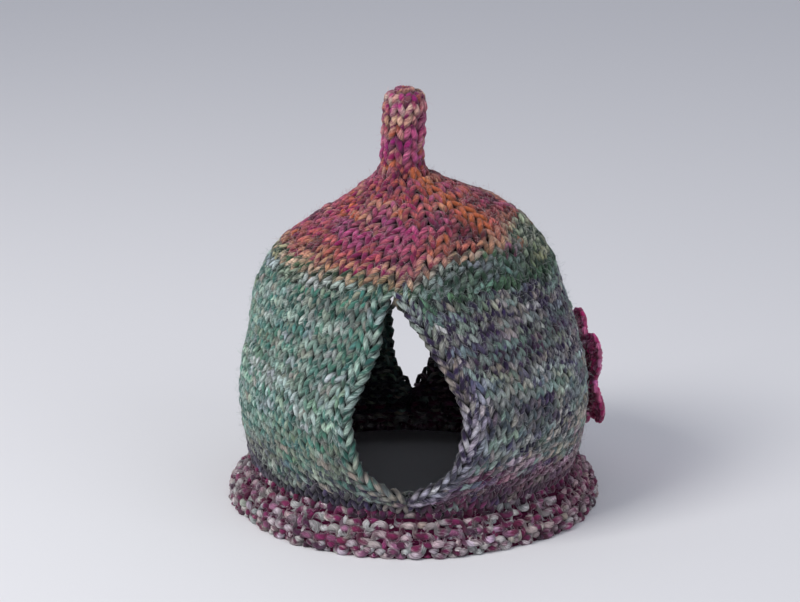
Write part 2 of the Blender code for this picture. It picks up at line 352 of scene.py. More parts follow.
def wool(name, turns_per_mm, patch_mm, patchy, shadow, dim, bump=0.6):
    """Two soft plies twisted together, each with its own colour, streaked along its fibres. Now one ply shows
    more, now the other, in patches about patch_mm long; the sunken parts of a loop and the ply grooves get painted
    shade."""
    material = bpy.data.materials.new(name)
    material.use_nodes = True
    g = Graph(material.node_tree)
    shader = g.tree.nodes["Principled BSDF"]

    def stored(label):
        return g.add("ShaderNodeAttribute", {"attribute_type": "GEOMETRY", "attribute_name": label})

    length = stored("run").wire("Fac") * 1000.0
    patches = g.add("ShaderNodeTexNoise", {"noise_dimensions": "1D"}, {
        "W": length * (1.0 / patch_mm), "Scale": 1.0, "Detail": 1.0,
    }).wire("Fac") - 0.5
    twist = length * (2 * math.pi * turns_per_mm) + patches * 3.0
    around = g.add("ShaderNodeSeparateXYZ", {}, {"Vector": stored("around").out("Vector")})
    x, y = around.wire("X"), around.wire("Y")
    side, front = x * twist.cos() + y * twist.sin(), y * twist.cos() - x * twist.sin()

    def streaks(thick, long, seed):
        place = g.add("ShaderNodeCombineXYZ", {}, {
            "X": side * thick + seed, "Y": front * thick, "Z": length * long,
        })
        return g.add("ShaderNodeTexNoise", {}, {
            "Vector": place.out(), "Scale": 1.0, "Detail": 2.0, "Roughness": 0.6,
        }).wire("Fac") - 0.5

    fibres, tufts = streaks(3.4, 0.3, 0.0), streaks(1.2, 0.16, 7.0)
    which = (side * 0.55 + 0.5 + fibres * 1.8 + tufts * 1.5 + patches * patchy).clamp()
    marl = g.add("ShaderNodeMix", {"data_type": "RGBA"}, {
        "Factor": which, "A": stored("ply_a").out("Color"), "B": stored("ply_b").out("Color"),
    })
    # Painted shade: the grooves between the plies are darkened, and so are the sunken parts of each loop and the flanks
    # of the yarn turned away from the outside (hollow_shade).
    groove = (side.size() * 1.5 + 0.1).clamp()
    seen = (stored("raised").wire("Fac") - 0.5) * (x * 1.2).math("MINIMUM", 1.0).math("MAXIMUM", -1.0) + 0.5
    hollow_shade = seen * seen * shadow + (1.0 - shadow)
    shade = (fibres * 2.3 + 1.0) * (tufts * 1.4 + 1.0) * (groove * 0.25 + 0.75) * hollow_shade * dim
    grey = g.add("ShaderNodeCombineColor", {}, {0: shade, 1: shade, 2: shade})
    tint = g.add("ShaderNodeMix", {"data_type": "RGBA", "blend_type": "MULTIPLY"}, {
        "Factor": 1.0, "A": marl.out(), "B": grey.out(),
    })
    relief = g.add("ShaderNodeBump", {}, {
        "Strength": bump, "Distance": 0.0006, "Height": groove * 0.4 + fibres * 1.2,
    })
    g.tree.links.new(tint.out(), shader.inputs["Base Color"])
    g.tree.links.new(relief.out(), shader.inputs["Normal"])
    shader.inputs["Roughness"].default_value = 0.9
    shader.inputs["Specular IOR Level"].default_value = 0.15
    shader.inputs["Sheen Weight"].default_value = 0.2
    shader.inputs["Sheen Roughness"].default_value = 0.6
    return material


YARN_TREE = yarn_tree()
WOOL = wool("two_ply_wool", 0.1, 7.0, 3.8, 0.9, 0.74)
BRIM_WOOL = wool("marled_brim_wool", 0.05, 9.0, 6.5, 0.62, 0.64)


def dress(piece, node="cosy"):
    """Fixes a finished piece to the object in place of its plain solid."""
    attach(piece, "root")
    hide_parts(node)
    return piece


def marled(first, second, count, spread=0.16, odd=(), odd_share=0.0):
    """Colours of both plies for a row of stitches, a little different at each."""
    plies = []
    for colour in (first, second):
        light = np.exp(rng.normal(0.0, spread, count))[:, None]
        tone = 1.0 + rng.normal(0.0, spread * 0.25, (count, 3))
        plies.append(np.clip(np.broadcast_to(colour, (count, 3)) * light * tone, 0.0, 0.95))
    if len(odd):
        for ply in plies:
            strange = rng.random(count) < odd_share
            ply[strange] = np.array(odd)[rng.integers(0, len(odd), strange.sum())]
    return plies


BRIM_WINE, BRIM_PLUM = linear(132, 30, 88), linear(80, 28, 68)
BRIM_CREAM, BRIM_MINT, BRIM_ROSE = linear(232, 216, 220), linear(190, 200, 198), linear(190, 124, 164)

brim_side = Side(BRIM_SIDE)
guide = Guide()
bearings = np.linspace(-math.pi, math.pi, BRIM_STITCHES + 1)
for ridge in range(BRIM_RIDGES):
    for purl in (True, False):
        run = min(BRIM_FIRST + BRIM_PITCH * (ridge + (0.0 if purl else 0.5)), brim_side.length - 0.3)
        count = BRIM_STITCHES + 1
        bearing = bearings + rng.normal(0.0, 0.016, count) + 0.012 * ridge
        depth = 1.9 if purl or ridge == BRIM_RIDGES - 1 else 2.6
        run = run + rng.normal(0.0, 0.35, count)
        co = brim_side.place(run, bearing, depth + rng.normal(0.0, 0.3, count))
        co[-1] = co[0]
        up = brim_side.place(run + 1.0, bearing, depth) - brim_side.place(run - 1.0, bearing, depth)
        out = unit(brim_side.place(run, bearing, 0.0) - brim_side.place(run, bearing, 4.0))
        size = 2.15 if purl else 2.4
        up = unit(up) * (size * (1.0 + rng.normal(0.0, 0.12, count)))[:, None]
        along = np.gradient(co, axis=0) * (1.0 + rng.normal(0.0, 0.1, count))[:, None]
        cream = BRIM_CREAM if purl or ridge < BRIM_RIDGES - 1 else BRIM_PLUM
        plies = marled(BRIM_WINE, cream, count, 0.28, (BRIM_MINT, BRIM_PLUM, BRIM_PLUM, BRIM_ROSE), 0.14)
        # On the right, away from the key light, the cream ply is painted darker and redder: painted shade.
        plies[1] *= 1.0 - np.clip(np.sin(bearing) * 2.0 - 1.0, 0.0, 1.0)[:, None] * np.array((0.2, 0.42, 0.38))
        guide.line(co, up, out, plies, along=along, face=-1.0 if purl else 1.0)
# The cast-on edge runs under the lowest ridge, with a small bump on either side of every stitch
count = BRIM_STITCHES * 2 + 1
bearing = np.linspace(-math.pi, math.pi, count) + rng.normal(0.0, 0.008, count)
co = brim_side.place(1.7 + rng.normal(0.0, 0.15, count), bearing, 2.0 + rng.normal(0.0, 0.2, count))
co[-1] = co[0]
up = unit(brim_side.place(2.7, bearing, 2.0) - brim_side.place(0.7, bearing, 2.0)) * 1.1
out = unit(brim_side.place(1.7, bearing, 0.0) - brim_side.place(1.7, bearing, 4.0))
guide.line(co, up, out, marled(BRIM_WINE, BRIM_CREAM, count, 0.28, (BRIM_MINT, BRIM_PLUM, BRIM_ROSE), 0.14), face=-1.0)
brim = grow("brim", guide.mesh("brim"), YARN_TREE, Yarn_Radius=BRIM_YARN * MM, Loop_Height=1.0, Waist=0.6,
            Depth=0.35 * MM, Steps=14, Sides=6, Looseness=2.0 * MM, Seed=1.0, Fullness=0.15, Material=BRIM_WOOL)
# The lowest bumps are pressed flat where the cosy stands on them
for vertex in brim.data.vertices:
    vertex.co.z = max(vertex.co.z, 0.0)
dress(brim)

# ---------------------------------------------------------------- Side panels
# Stocking stitch worked to and fro in two halves, so that a slit stays open at the front and at the back.
# The wool changes colour by itself: teal on the left half, purple with mint stripes on the right.
WALL_SIDE = (
    (69.2, 16.2), (70.9, 22.0), (73.0, 32.0), (74.2, 46.0), (72.8, 60.0), (69.4, 74.0), (66.1, 88.0),
    (61.9, 100.0), (56.8, 108.0), (50.8, 114.5), (44.7, 120.0), (36.2, 126.0), (26.4, 131.0), (17.3, 136.0),
    (11.2, 140.0), (8.9, 143.0),
)
FRONT_RIGHT = (
    (-2.8, 23.2), (13.5, 34.0), (18.4, 49.0), (18.2, 59.0), (12.5, 72.0), (5.5, 84.0), (-2.5, 95.0), (-8.5, 104.0),
)
FRONT_LEFT = (
    (-2.8, 23.2), (-19.0, 33.0), (-24.2, 49.0), (-24.0, 59.0), (-18.5, 72.0), (-13.8, 84.0), (-12.0, 95.0),
    (-8.5, 104.0),
)
BACK_HALF = ((0.0, 24.0), (7.5, 36.0), (9.5, 54.0), (10.5, 72.0), (6.5, 92.0), (0.0, 101.0))

ROW_PITCH = 4.1
FIRST_ROW = 1.4
FOOT_ROWS = 2
PANEL_ROWS = 20
PANEL_STITCHES = 40
ROUND_STITCHES = 84
YARN_DEPTH = 2.3
YARN_RADIUS = 1.05
EDGE_INSET = 4.4
CHAIN_PITCH, CHAIN_INNER, CHAIN_OUTER, CHAIN_DEPTH = 5.0, 0.2, 6.2, 1.5
EDGE_PULL = 26.0
SKEW, SKEW_TOP = 0.16, 48.0
KNIT = dict(Yarn_Radius=YARN_RADIUS * MM, Loop_Height=1.18, Waist=2.1, Depth=1.45 * MM, Steps=14, Sides=6,
            Looseness=1.3 * MM, Fullness=0.18, Material=WOOL)

MOSS, FERN = linear(26, 58, 40), linear(78, 114, 86)
TEAL, SEA, MIST = linear(56, 116, 103), linear(98, 154, 140), linear(182, 208, 198)
LICHEN, SLATE, NAVY = linear(144, 156, 140), linear(92, 92, 104), linear(44, 32, 60)
PURPLE, VIOLET, LILAC = linear(50, 32, 74), linear(84, 66, 116), linear(206, 200, 220)
MAUVE, SHELL, BARK = linear(116, 80, 106), linear(188, 176, 166), linear(78, 52, 70)
MINT, SAGE, WINE, BLOOM = linear(176, 204, 194), linear(128, 150, 146), linear(96, 36, 70), linear(178, 146, 158)

wall_side = Side(WALL_SIDE)


def colour_steps(level, steps):
    """Colours of both plies at a level, from steps of (level, first, second)."""
    at = [step[0] for step in steps]
    first = [np.interp(level, at, [step[1][k] for step in steps]) for k in range(3)]
    second = [np.interp(level, at, [step[2][k] for step in steps]) for k in range(3)]
    return np.stack(first, -1), np.stack(second, -1)


def lean_of_rows(run, bearing):
    """Turn of the columns near the foot of the right half, where the fabric is pulled askew. Radians."""
    low = np.clip(1.0 - run / SKEW_TOP, 0.0, 1.0) ** 2
    return np.where(np.sin(bearing) > 0.0, -SKEW * low * np.sin(bearing) ** 2, 0.0)


LEFT_STEPS = (
    (16.0, NAVY, PURPLE), (21.0, NAVY, SLATE), (26.0, NAVY, LICHEN), (32.0, SLATE, LICHEN), (38.0, SEA, LICHEN),
    (47.0, TEAL, MIST), (56.0, SEA, MIST), (64.0, LICHEN, MIST), (72.0, TEAL, MIST), (80.0, SEA, LICHEN),
    (90.0, TEAL, MIST), (100.0, TEAL, LICHEN),
)
RIGHT_STEPS = (
    (16.0, WINE, BARK), (21.0, BARK, MAUVE), (27.0, WINE, BLOOM), (33.0, BARK, BLOOM), (38.0, SAGE, SHELL),
    (43.0, PURPLE, SHELL), (48.0, SAGE, MINT), (53.0, PURPLE, MAUVE), (58.0, SAGE, MINT), (64.0, SAGE, SHELL),
    (69.0, PURPLE, MINT), (75.0, PURPLE, SHELL), (80.0, BARK, SAGE), (86.0, PURPLE, SAGE), (92.0, PURPLE, SHELL),
    (97.0, PURPLE, SAGE), (101.0, MOSS, FERN), (106.0, MOSS, MINT),
)


def wall_plies(level, bearing, edge=None):
    """Colours of the stitches of the wall: teal to the left, purple to the right, violet by the front edge."""
    count = len(level)
    wavy = level + 3.0 * np.sin(3.0 * bearing + 0.15 * level) + 2.0 * np.sin(7.0 * bearing - 0.2 * level)
    wavy = np.minimum(wavy, level + 4.0 * np.clip(level - 18.0, 0.0, 1.0)) + rng.normal(0.0, 2.0, count)
    left = colour_steps(wavy, LEFT_STEPS)
    right = colour_steps(wavy, RIGHT_STEPS)
    is_left = (bearing < 0.0)[:, None]
    first, second = np.where(is_left, left[0], right[0]), np.where(is_left, left[1], right[1])
    if edge is not None:
        near = (np.clip(1.0 - edge / 9.0, 0.0, 1.0) * np.clip((84.0 - level) / 16.0, 0.0, 1.0))[:, None]
        near = np.where(is_left, 0.0, near)
        first, second = first + (VIOLET * 0.8 - first) * near, second + (LILAC - second) * near
    odd = (TEAL, SEA, SHELL, MIST) if bearing.mean() < 0.0 else (PURPLE, MINT, SHELL, VIOLET)
    return marled(first, second, count, 0.33, odd, 0.13)


def edge_line(outline, inset):
    """An opening's edge drawn in towards the fabric: across and level."""
    line = smooth_line(outline)
    slope = unit(np.gradient(line, axis=0))
    away = np.column_stack([slope[:, 1], -slope[:, 0]])
    if outline[len(outline) // 2][0] < outline[0][0]:
        away = -away
    return line + away * inset


def on_wall(across, level, back):
    """Distance up the side and bearing of places seen from the front or the back."""
    up = wall_side.run_at(level)
    bearing = np.arcsin(np.clip((across - lean_at(level)) / wall_side.radius(up), -1.0, 1.0))
    return up, (math.pi - bearing if back else bearing)


def edge_places(outline, back, rows):
    """Where the rows of a panel end, spread evenly along an opening's edge."""
    line = edge_line(outline, EDGE_INSET)
    run = lengths(line)
    want = (np.arange(rows) + 0.5) / rows * run[-1]
    return on_wall(np.interp(want, run, line[:, 0]), np.interp(want, run, line[:, 1]), back)


def edge_chain(guide, outline, back, colours):
    """The first stitch of every row: a chain of loops that runs up an opening's edge."""
    inner, outer = edge_line(outline, CHAIN_INNER), edge_line(outline, CHAIN_OUTER)
    run = lengths((inner + outer) / 2)
    for centre in np.arange(CHAIN_PITCH * 0.3, run[-1] - CHAIN_PITCH * 0.1, CHAIN_PITCH):
        want = centre + rng.normal(0.0, 0.25) + np.array([-0.5, 0.0, 0.5]) * CHAIN_PITCH
        corners = []
        for line in (inner, outer):
            up, bearing = on_wall(np.interp(want, run, line[:, 0]), np.interp(want, run, line[:, 1]), back)
            depth = CHAIN_DEPTH + rng.normal(0.0, 0.15)
            corners.append((wall_side.place(up, bearing, depth + 0.0 * up), wall_side.place(up, bearing, 4.0 + 0.0 * up)))
        co = np.array([corners[0][0][1], corners[1][0][1]])
        up = np.array([corner[0][2] - corner[0][0] for corner in corners]) * (1.0 + rng.normal(0.0, 0.06))
        up = up.mean(axis=0, keepdims=True).repeat(2, axis=0)
        out = unit(np.array([corner[0][1] - corner[1][1] for corner in corners]))
        guide.line(co, up, out, colours(co[:, 2]), along=np.tile(co[1] - co[0], (2, 1)))


def knit_panel(name, front_outline, back_outline, sign, seed):
    """One half of the wall: rows to and fro between the front and the back opening."""
    front_run, front_bearing = edge_places(front_outline, False, PANEL_ROWS)
    back_run, back_bearing = edge_places(back_outline, True, PANEL_ROWS)
    if sign < 0:
        back_bearing = back_bearing - 2 * math.pi
    share = np.linspace(0.0, 1.0, PANEL_STITCHES + 1)
    level_run = FIRST_ROW + ROW_PITCH * (FOOT_ROWS + np.arange(PANEL_ROWS))

    def place(row, part, depth):
        """A point of the panel at a row and a share of the way round, both of which may fall between."""
        rows = np.arange(PANEL_ROWS)
        pick = lambda values: np.interp(row, rows, values) + np.where(
            row > rows[-1], (row - rows[-1]) * (values[-1] - values[-2]),
            np.where(row < 0, row * (values[1] - values[0]), 0.0))
        level, start, end = pick(level_run), pick(front_run), pick(back_run)
        first, last = pick(front_bearing), pick(back_bearing)
        bearing = first + part * (last - first)
        width = abs(last - first) * 70.0
        pull = np.exp(-((part * width / EDGE_PULL) ** 2)) * (start - level)
        pull = pull + np.exp(-(((1 - part) * width / EDGE_PULL) ** 2)) * (end - level)
        bearing = bearing + lean_of_rows(level + pull, bearing) * np.sin(math.pi * np.clip(part, 0.0, 1.0))
        return wall_side.place(level + pull, bearing, depth), bearing

    guide = Guide()
    co_all, up_all, out_all, stitch_all, along_all, edge_all, bearing_all = [], [], [], [], [], [], []
    done = 0.0
    for row in range(PANEL_ROWS):
        count = PANEL_STITCHES + 1
        part = share + np.concatenate([[0.0], rng.normal(0.0, 0.0022, count - 2), [0.0]])
        level = row + rng.normal(0.0, 0.07, count)
        depth = YARN_DEPTH + rng.normal(0.0, 0.25, count)
        co, bearing = place(level, part, depth)
        up = place(level + 0.5, part, depth)[0] - place(level - 0.5, part, depth)[0]
        out = unit(place(level, part, 0.0 * part)[0] - place(level, part, 4.0 + 0.0 * part)[0])
        along = np.gradient(co, axis=0) * (1.0 + rng.normal(0.0, 0.07, count))[:, None]
        up = up * (1.0 + rng.normal(0.0, 0.07, count))[:, None]
        order = slice(None) if row % 2 == 0 else slice(None, None, -1)
        co_all.append(co[order]); up_all.append(up[order]); out_all.append(out[order])
        along_all.append((along if row % 2 == 0 else -along)[order])
        stitch_all.append(done + np.arange(count))
        edge_all.append((np.abs(bearing - bearing[0]) * 70.0)[order])
        bearing_all.append(bearing[order])
        done += count - 1
    co, bearing = np.vstack(co_all), np.concatenate(bearing_all)
    plies = wall_plies(co[:, 2], bearing, np.concatenate(edge_all))
    guide.line(co, np.vstack(up_all), np.vstack(out_all), plies, np.concatenate(stitch_all), np.vstack(along_all))
    return dress(grow(name, guide.mesh(name), YARN_TREE, Seed=seed, **KNIT))


# The rounds below the slits come first
guide = Guide()
for row in range(FOOT_ROWS):
    count = ROUND_STITCHES + 1
    bearing = np.linspace(-math.pi, math.pi, count) + rng.normal(0.0, 0.004, count)
    run = FIRST_ROW + ROW_PITCH * row + rng.normal(0.0, 0.25, count)
    depth = YARN_DEPTH + rng.normal(0.0, 0.2, count)
    co, above, below = (
        wall_side.place(run + step, bearing + lean_of_rows(run + step, bearing), depth) for step in (0.0, 1.0, -1.0)
    )
    co[-1] = co[0]
    up = (above - below) * (ROW_PITCH / 2)
    if row == FOOT_ROWS - 1:
        under = np.where(co[:, 1] < 0.0, np.abs(co[:, 0] + 2.8) < 15.0, np.abs(co[:, 0]) < 6.0)
        up = up * np.where(under, 0.3, 1.0)[:, None]
    out = unit(wall_side.place(run, bearing, 0.0) - wall_side.place(run, bearing, 4.0))
    guide.line(co, up, out, wall_plies(co[:, 2], bearing))
dress(grow("foot_rounds", guide.mesh("foot_rounds"), YARN_TREE, Seed=2.0, **KNIT))

knit_panel("left_panel", FRONT_LEFT, tuple((-x, z) for x, z in BACK_HALF), -1.0, 3.0)
knit_panel("right_panel", FRONT_RIGHT, BACK_HALF, 1.0, 4.0)

LEFT_EDGE = ((20.0, MAUVE, SHELL), (32.0, SEA, SHELL), (40.0, TEAL, MIST), (104.0, TEAL, MIST))
RIGHT_EDGE = (
    (20.0, PURPLE, LILAC), (30.0, SLATE, LILAC), (38.0, PURPLE, LILAC), (54.0, PURPLE, LILAC), (64.0, PURPLE, SHELL),
    (76.0, PURPLE, SHELL), (104.0, PURPLE, MIST),
)
guide = Guide()
edge_chain(guide, FRONT_LEFT, False, lambda level: marled(*colour_steps(level, LEFT_EDGE), 2, 0.2))
edge_chain(guide, FRONT_RIGHT, False, lambda level: marled(*colour_steps(level, RIGHT_EDGE), 2, 0.2))
edge_chain(
    guide, tuple((-x, z) for x, z in BACK_HALF), True, lambda level: marled(*colour_steps(level, LEFT_STEPS), 2, 0.2)
)
edge_chain(guide, BACK_HALF, True, lambda level: marled(*colour_steps(level, RIGHT_STEPS), 2, 0.2))
dress(grow("edge_chains", guide.mesh("edge_chains"), YARN_TREE, Seed=8.0, **{**KNIT, "Looseness": 0.9 * MM}))

# ---------------------------------------------------------------- Yoke and crown
# Rounds over both halves, dark green, then magenta and orange, with eight lines where two stitches are
# knitted together every other round, so that the crown closes to the foot of the stalk.
LINE_HALF = 3.0
BRIGHT_LINE, TURN_TOP = 5, 121.0
CROWN_STITCH = 6.0
CROWN_PITCH = 4.8
CROWN_START = FIRST_ROW + ROW_PITCH * (FOOT_ROWS + PANEL_ROWS)
CROWN_WOOL = wool("crown_wool", 0.13, 5.0, 2.4, 0.9, 0.78)

STRAW = linear(204, 200, 168)
PEACH, MAGENTA, RUBY = linear(226, 168, 136), linear(150, 22, 88), linear(104, 12, 34)
ORANGE, ROSE, PLUM = linear(210, 110, 58), linear(192, 88, 140), linear(86, 16, 60)
AMBER, BLUSH, CERISE = ORANGE * 0.7 + ROSE * 0.3, (PEACH + ROSE) / 2, linear(156, 20, 104)

# Where green turns to magenta: degrees from the front, millimetres up
TURN = ((-180.0, 116.0), (-87.0, 109.8), (-41.0, 109.3), (-26.0, 110.0), (-8.0, 108.0), (-3.0, 105.3), (4.0, 112.0),
        (15.0, 114.5), (28.0, 115.3), (44.0, 117.7), (63.0, 121.5), (95.0, 121.5), (180.0, 116.0))
# Colours by height over that turn, on the left and on the right
LEFT_YOKE = (
    (-12.0, TEAL, LICHEN), (-6.0, MOSS, MIST), (-3.0, MOSS, STRAW), (-1.0, FERN, PEACH), (1.5, MAGENTA, PEACH),
    (5.0, MAGENTA, AMBER), (14.0, MAGENTA, ROSE), (20.0, MAGENTA, ORANGE), (27.0, MAGENTA, ROSE),
    (32.0, MAGENTA, ORANGE), (36.0, MAGENTA, ROSE), (42.0, CERISE, ROSE), (50.0, CERISE, PEACH), (70.0, CERISE, BLUSH),
)
RIGHT_YOKE = (
    (-14.0, MOSS, FERN), (-7.0, MOSS, SAGE), (-4.0, MOSS, SAGE), (-1.5, FERN, STRAW), (0.5, RUBY, PEACH),
    (3.0, RUBY, AMBER), (8.0, RUBY, MAGENTA), (13.0, RUBY, AMBER), (19.0, RUBY, MAGENTA), (24.0, RUBY, AMBER),
    (30.0, MAGENTA, ROSE), (42.0, CERISE, ROSE), (50.0, CERISE, PEACH), (70.0, CERISE, BLUSH),
)


def yoke_plies(level, bearing):
    """Colours of the stitches above the slits."""
    side = (bearing + math.pi) % (2 * math.pi) - math.pi
    over = level - np.interp(np.degrees(side), [row[0] for row in TURN], [row[1] for row in TURN])
    over = over + rng.normal(0.0, 0.8, len(level)) + np.where(over > 4.0, 3.0 * np.sin(5.0 * side + 0.3 * level), 0.0)
    right = np.clip((side - 0.02) / 0.35, 0.0, 1.0) * np.clip((math.pi - side) / 0.5, 0.0, 1.0)
    left_pair, right_pair = colour_steps(over, LEFT_YOKE), colour_steps(over, RIGHT_YOKE)
    first, second = (a + (b - a) * right[:, None] for a, b in zip(left_pair, right_pair))
    pale = np.clip((side - 0.9) / 0.4, 0.0, 1.0) * np.clip((1.0 - over) / 2.0, 0.0, 1.0) * (level > 104.0)
    second = second + (STRAW - second) * (0.6 * pale)[:, None]
    # The crown's colours are painted darker as painted shade, where it faces up to the lamps; the stalk's are made
    # lighter.
    if level.mean() > 114.0:
        shade_and_lift = 0.93 if level.mean() < 141.0 else 1.2
        return marled(first * shade_and_lift, second * shade_and_lift, len(level), 0.3, (ORANGE, AMBER, ROSE, PLUM, PEACH), 0.2)
    return marled(first * 0.9, second * 0.9, len(level), 0.3)


guide = Guide()
for run in np.arange(CROWN_START, wall_side.length, CROWN_PITCH):
    radius = float(wall_side.radius(run)) - YARN_DEPTH * 0.7
    wedge = 2 * math.pi * radius / WEDGES
    lines, across, on_line = [], [], []
    for number in range(WEDGES):
        steps = np.arange(LINE_HALF, wedge - LINE_HALF, CROWN_STITCH)
        if len(steps) > 1 and wedge - LINE_HALF - steps[-1] < CROWN_STITCH * 0.5:
            steps = steps[:-1]
        for x in [-LINE_HALF, *steps]:
            lines.append(number)
            across.append(x)
            on_line.append(abs(x) <= LINE_HALF)
    lines.append(WEDGES)
    across.append(-LINE_HALF)
    on_line.append(True)
    start, across, on_line = -math.pi + 2 * math.pi * np.array(lines) / WEDGES, np.array(across), np.array(on_line)
    count = len(across)
    at = run + rng.normal(0.0, 0.22, count)
    depth = YARN_DEPTH + rng.normal(0.0, 0.2, count) - 0.5 * on_line
    bearing = start + across / radius + rng.normal(0.0, 0.25, count) / radius
    ahead, behind = (np.maximum(wall_side.radius(run + step) - YARN_DEPTH * 0.7, 5.0) for step in (1.0, -1.0))
    co = wall_side.place(at, bearing, depth)
    co[-1] = co[0]
    up = wall_side.place(at + 1.0, start + across / ahead, depth) - wall_side.place(at - 1.0, start + across / behind, depth)
    up = unit(up) * CROWN_PITCH * (1.0 + rng.normal(0.0, 0.07, count))[:, None]
    out = unit(wall_side.place(at, bearing, 0.0) - wall_side.place(at, bearing, 4.0))
    plies = yoke_plies(co[:, 2], bearing)
    bright = on_line & (np.array(lines) == BRIGHT_LINE) & (across < 0.0) & (co[:, 2] > TURN_TOP)
    plies[0][bright], plies[1][bright] = ORANGE * 1.2, ORANGE
    co[bright] += out[bright] * 0.6
    guide.line(co, up, out, plies)
dress(grow("crown", guide.mesh("crown"), YARN_TREE, Seed=5.0, **{
    **KNIT, "Yarn_Radius": 1.2 * MM, "Loop_Height": 1.25, "Looseness": 1.8 * MM, "Material": CROWN_WOOL,
}))

# ---------------------------------------------------------------- Stalk
# The last eight stitches, worked round and round as a cord, with the yarn drawn through them at the top.
STALK_SIDE = (
    (8.9, 142.0), (8.9, 152.0), (8.9, 162.0), (8.9, 168.3), (7.83, 172.0), (4.9, 174.6), (0.0, 175.4),
)
STALK_STITCHES = 8
STALK_PITCH = 4.9
STALK_END = 3.5
CLOSING_HEIGHT = 0.4
STALK_YARN_DEPTH = 2.0

stalk_side = Side(STALK_SIDE)
guide = Guide()
stalk_rows = int(stalk_side.length / STALK_PITCH) + 1
for row in range(stalk_rows):
    count = STALK_STITCHES + 1
    run = min(1.5 + STALK_PITCH * row, stalk_side.length - STALK_END) + rng.normal(0.0, 0.15, count)
    bearing = np.linspace(-math.pi, math.pi, count) + math.pi / STALK_STITCHES
    co = stalk_side.place(run, bearing, STALK_YARN_DEPTH + 0.0 * run)
    co[-1] = co[0]
    up = stalk_side.place(run + 1.0, bearing, 1.9) - stalk_side.place(run - 1.0, bearing, 1.9)
    up = up * (STALK_PITCH / 2) * (1.0 + rng.normal(0.0, 0.06, count))[:, None]
    if row == stalk_rows - 1:
        up = up * CLOSING_HEIGHT
    out = unit(stalk_side.place(run, bearing, 0.0) - stalk_side.place(run, bearing, 3.0))
    guide.line(co, up, out, yoke_plies(co[:, 2], bearing))
dress(grow("stalk", guide.mesh("stalk"), YARN_TREE, Seed=6.0,
           **{**KNIT, "Yarn_Radius": 1.38 * MM, "Waist": 2.2, "Loop_Height": 1.1, "Looseness": 1.6 * MM, "Material": CROWN_WOOL}))

# ---------------------------------------------------------------- Ground of the knitting
# The middle of the fabric that shows between the loops: a thin web in the colour of the yarn round it, darkened as
# painted shade.
GROUND_SHRINK = 1.72


def web_of(node, shrink):
    """A copy of a solid drawn in on both faces, so that only a thin web is left in the middle of its wall."""
    work = bmesh.new()
    work.from_mesh(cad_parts[node].data)
    bmesh.ops.remove_doubles(work, verts=work.verts, dist=0.01 * MM)
    work.normal_update()
    moves = [vertex.normal * (shrink * MM * min(vertex.calc_shell_factor(), 1.5)) for vertex in work.verts]
    for vertex, move in zip(work.verts, moves):
        on_table = vertex.co.z < 0.1 * MM
        vertex.co -= move
        if on_table:
            vertex.co.z = 0.1 * MM
    mesh = bpy.data.meshes.new(node + "_web")
    work.to_mesh(mesh)
    work.free()
    return mesh


def as_piece(name, mesh, material):
    """A mesh as an object with one material."""
    mesh.materials.clear()
    mesh.materials.append(material)
    mesh.name = name
    piece = bpy.data.objects.new(name, mesh)
    bpy.context.scene.collection.objects.link(piece)
    return piece


def web_material(name, dim):
    """Felted fibres in painted shade: the stored colour, mottled and darkened by dim."""
    material = bpy.data.materials.new(name)
    material.use_nodes = True
    g = Graph(material.node_tree)
    shader = g.tree.nodes["Principled BSDF"]
    place = g.add("ShaderNodeTexCoord").out("Object")
    fibres = g.add("ShaderNodeTexNoise", {}, {"Vector": place, "Scale": 900.0, "Detail": 4.0}).wire("Fac")
    shade = (fibres * 0.9 + 0.5) * dim
    grey = g.add("ShaderNodeCombineColor", {}, {0: shade, 1: shade, 2: shade})
    dye_and_shade = g.add("ShaderNodeAttribute", {"attribute_type": "GEOMETRY", "attribute_name": "dye_and_shade"})
    tint = g.add("ShaderNodeMix", {"data_type": "RGBA", "blend_type": "MULTIPLY"}, {
        "Factor": 1.0, "A": dye_and_shade.out("Color"), "B": grey.out(),
    })
    relief = g.add("ShaderNodeBump", {}, {"Strength": 0.6, "Distance": 0.0004, "Height": fibres})
    g.tree.links.new(tint.out(), shader.inputs["Base Color"])
    g.tree.links.new(relief.out(), shader.inputs["Normal"])
    shader.inputs["Roughness"].default_value = 0.95
    shader.inputs["Specular IOR Level"].default_value = 0.1
    return material


mesh = web_of("cosy", GROUND_SHRINK)
spots = np.array([vertex.co[:] for vertex in mesh.vertices]) / MM
bearing = np.arctan2(spots[:, 0], -spots[:, 1])
# Below 14.5 mm the web takes the brim's wine; above, the wall's colour, whose dark shades at the foot of the wall make
# the crease above the brim a painted shadow.
dye_and_shade = np.where(
    (spots[:, 2] < 14.5)[:, None], BRIM_WINE,
    np.where((spots[:, 2] < 100.0)[:, None], wall_plies(spots[:, 2], bearing)[0], yoke_plies(spots[:, 2], bearing)[0]),
)
# The web's inner faces are painted lighter than its outer ones: less painted shade on the inside.
facing = np.array([vertex.normal[:] for vertex in mesh.vertices])
inside = ((spots - (0.0, 0.0, 60.0)) * facing).sum(axis=1) < 0.0
dye_and_shade = np.where((inside & (spots[:, 2] > 14.5))[:, None], dye_and_shade * 2.6 + 0.12, dye_and_shade)
kept = mesh.attributes.new("dye_and_shade", "FLOAT_COLOR", "POINT")
kept.data.foreach_set("color", np.column_stack([dye_and_shade, np.ones(len(dye_and_shade))]).ravel())
ground = dress(as_piece("knit_ground", mesh, web_material("shadowed_wool", 0.18)))

# ---------------------------------------------------------------- Fuzz
# Loose ends of the wool's fibres that stand off the yarn in a thin haze, each a bent hair.
HAIR_RADIUS = 0.0095
FUZZ = (
    ("brim", 3600, 0.8), ("left_panel", 5600, 1.0), ("right_panel", 5600, 1.0), ("crown", 5000, 1.0), ("stalk", 900, 0.8),
)


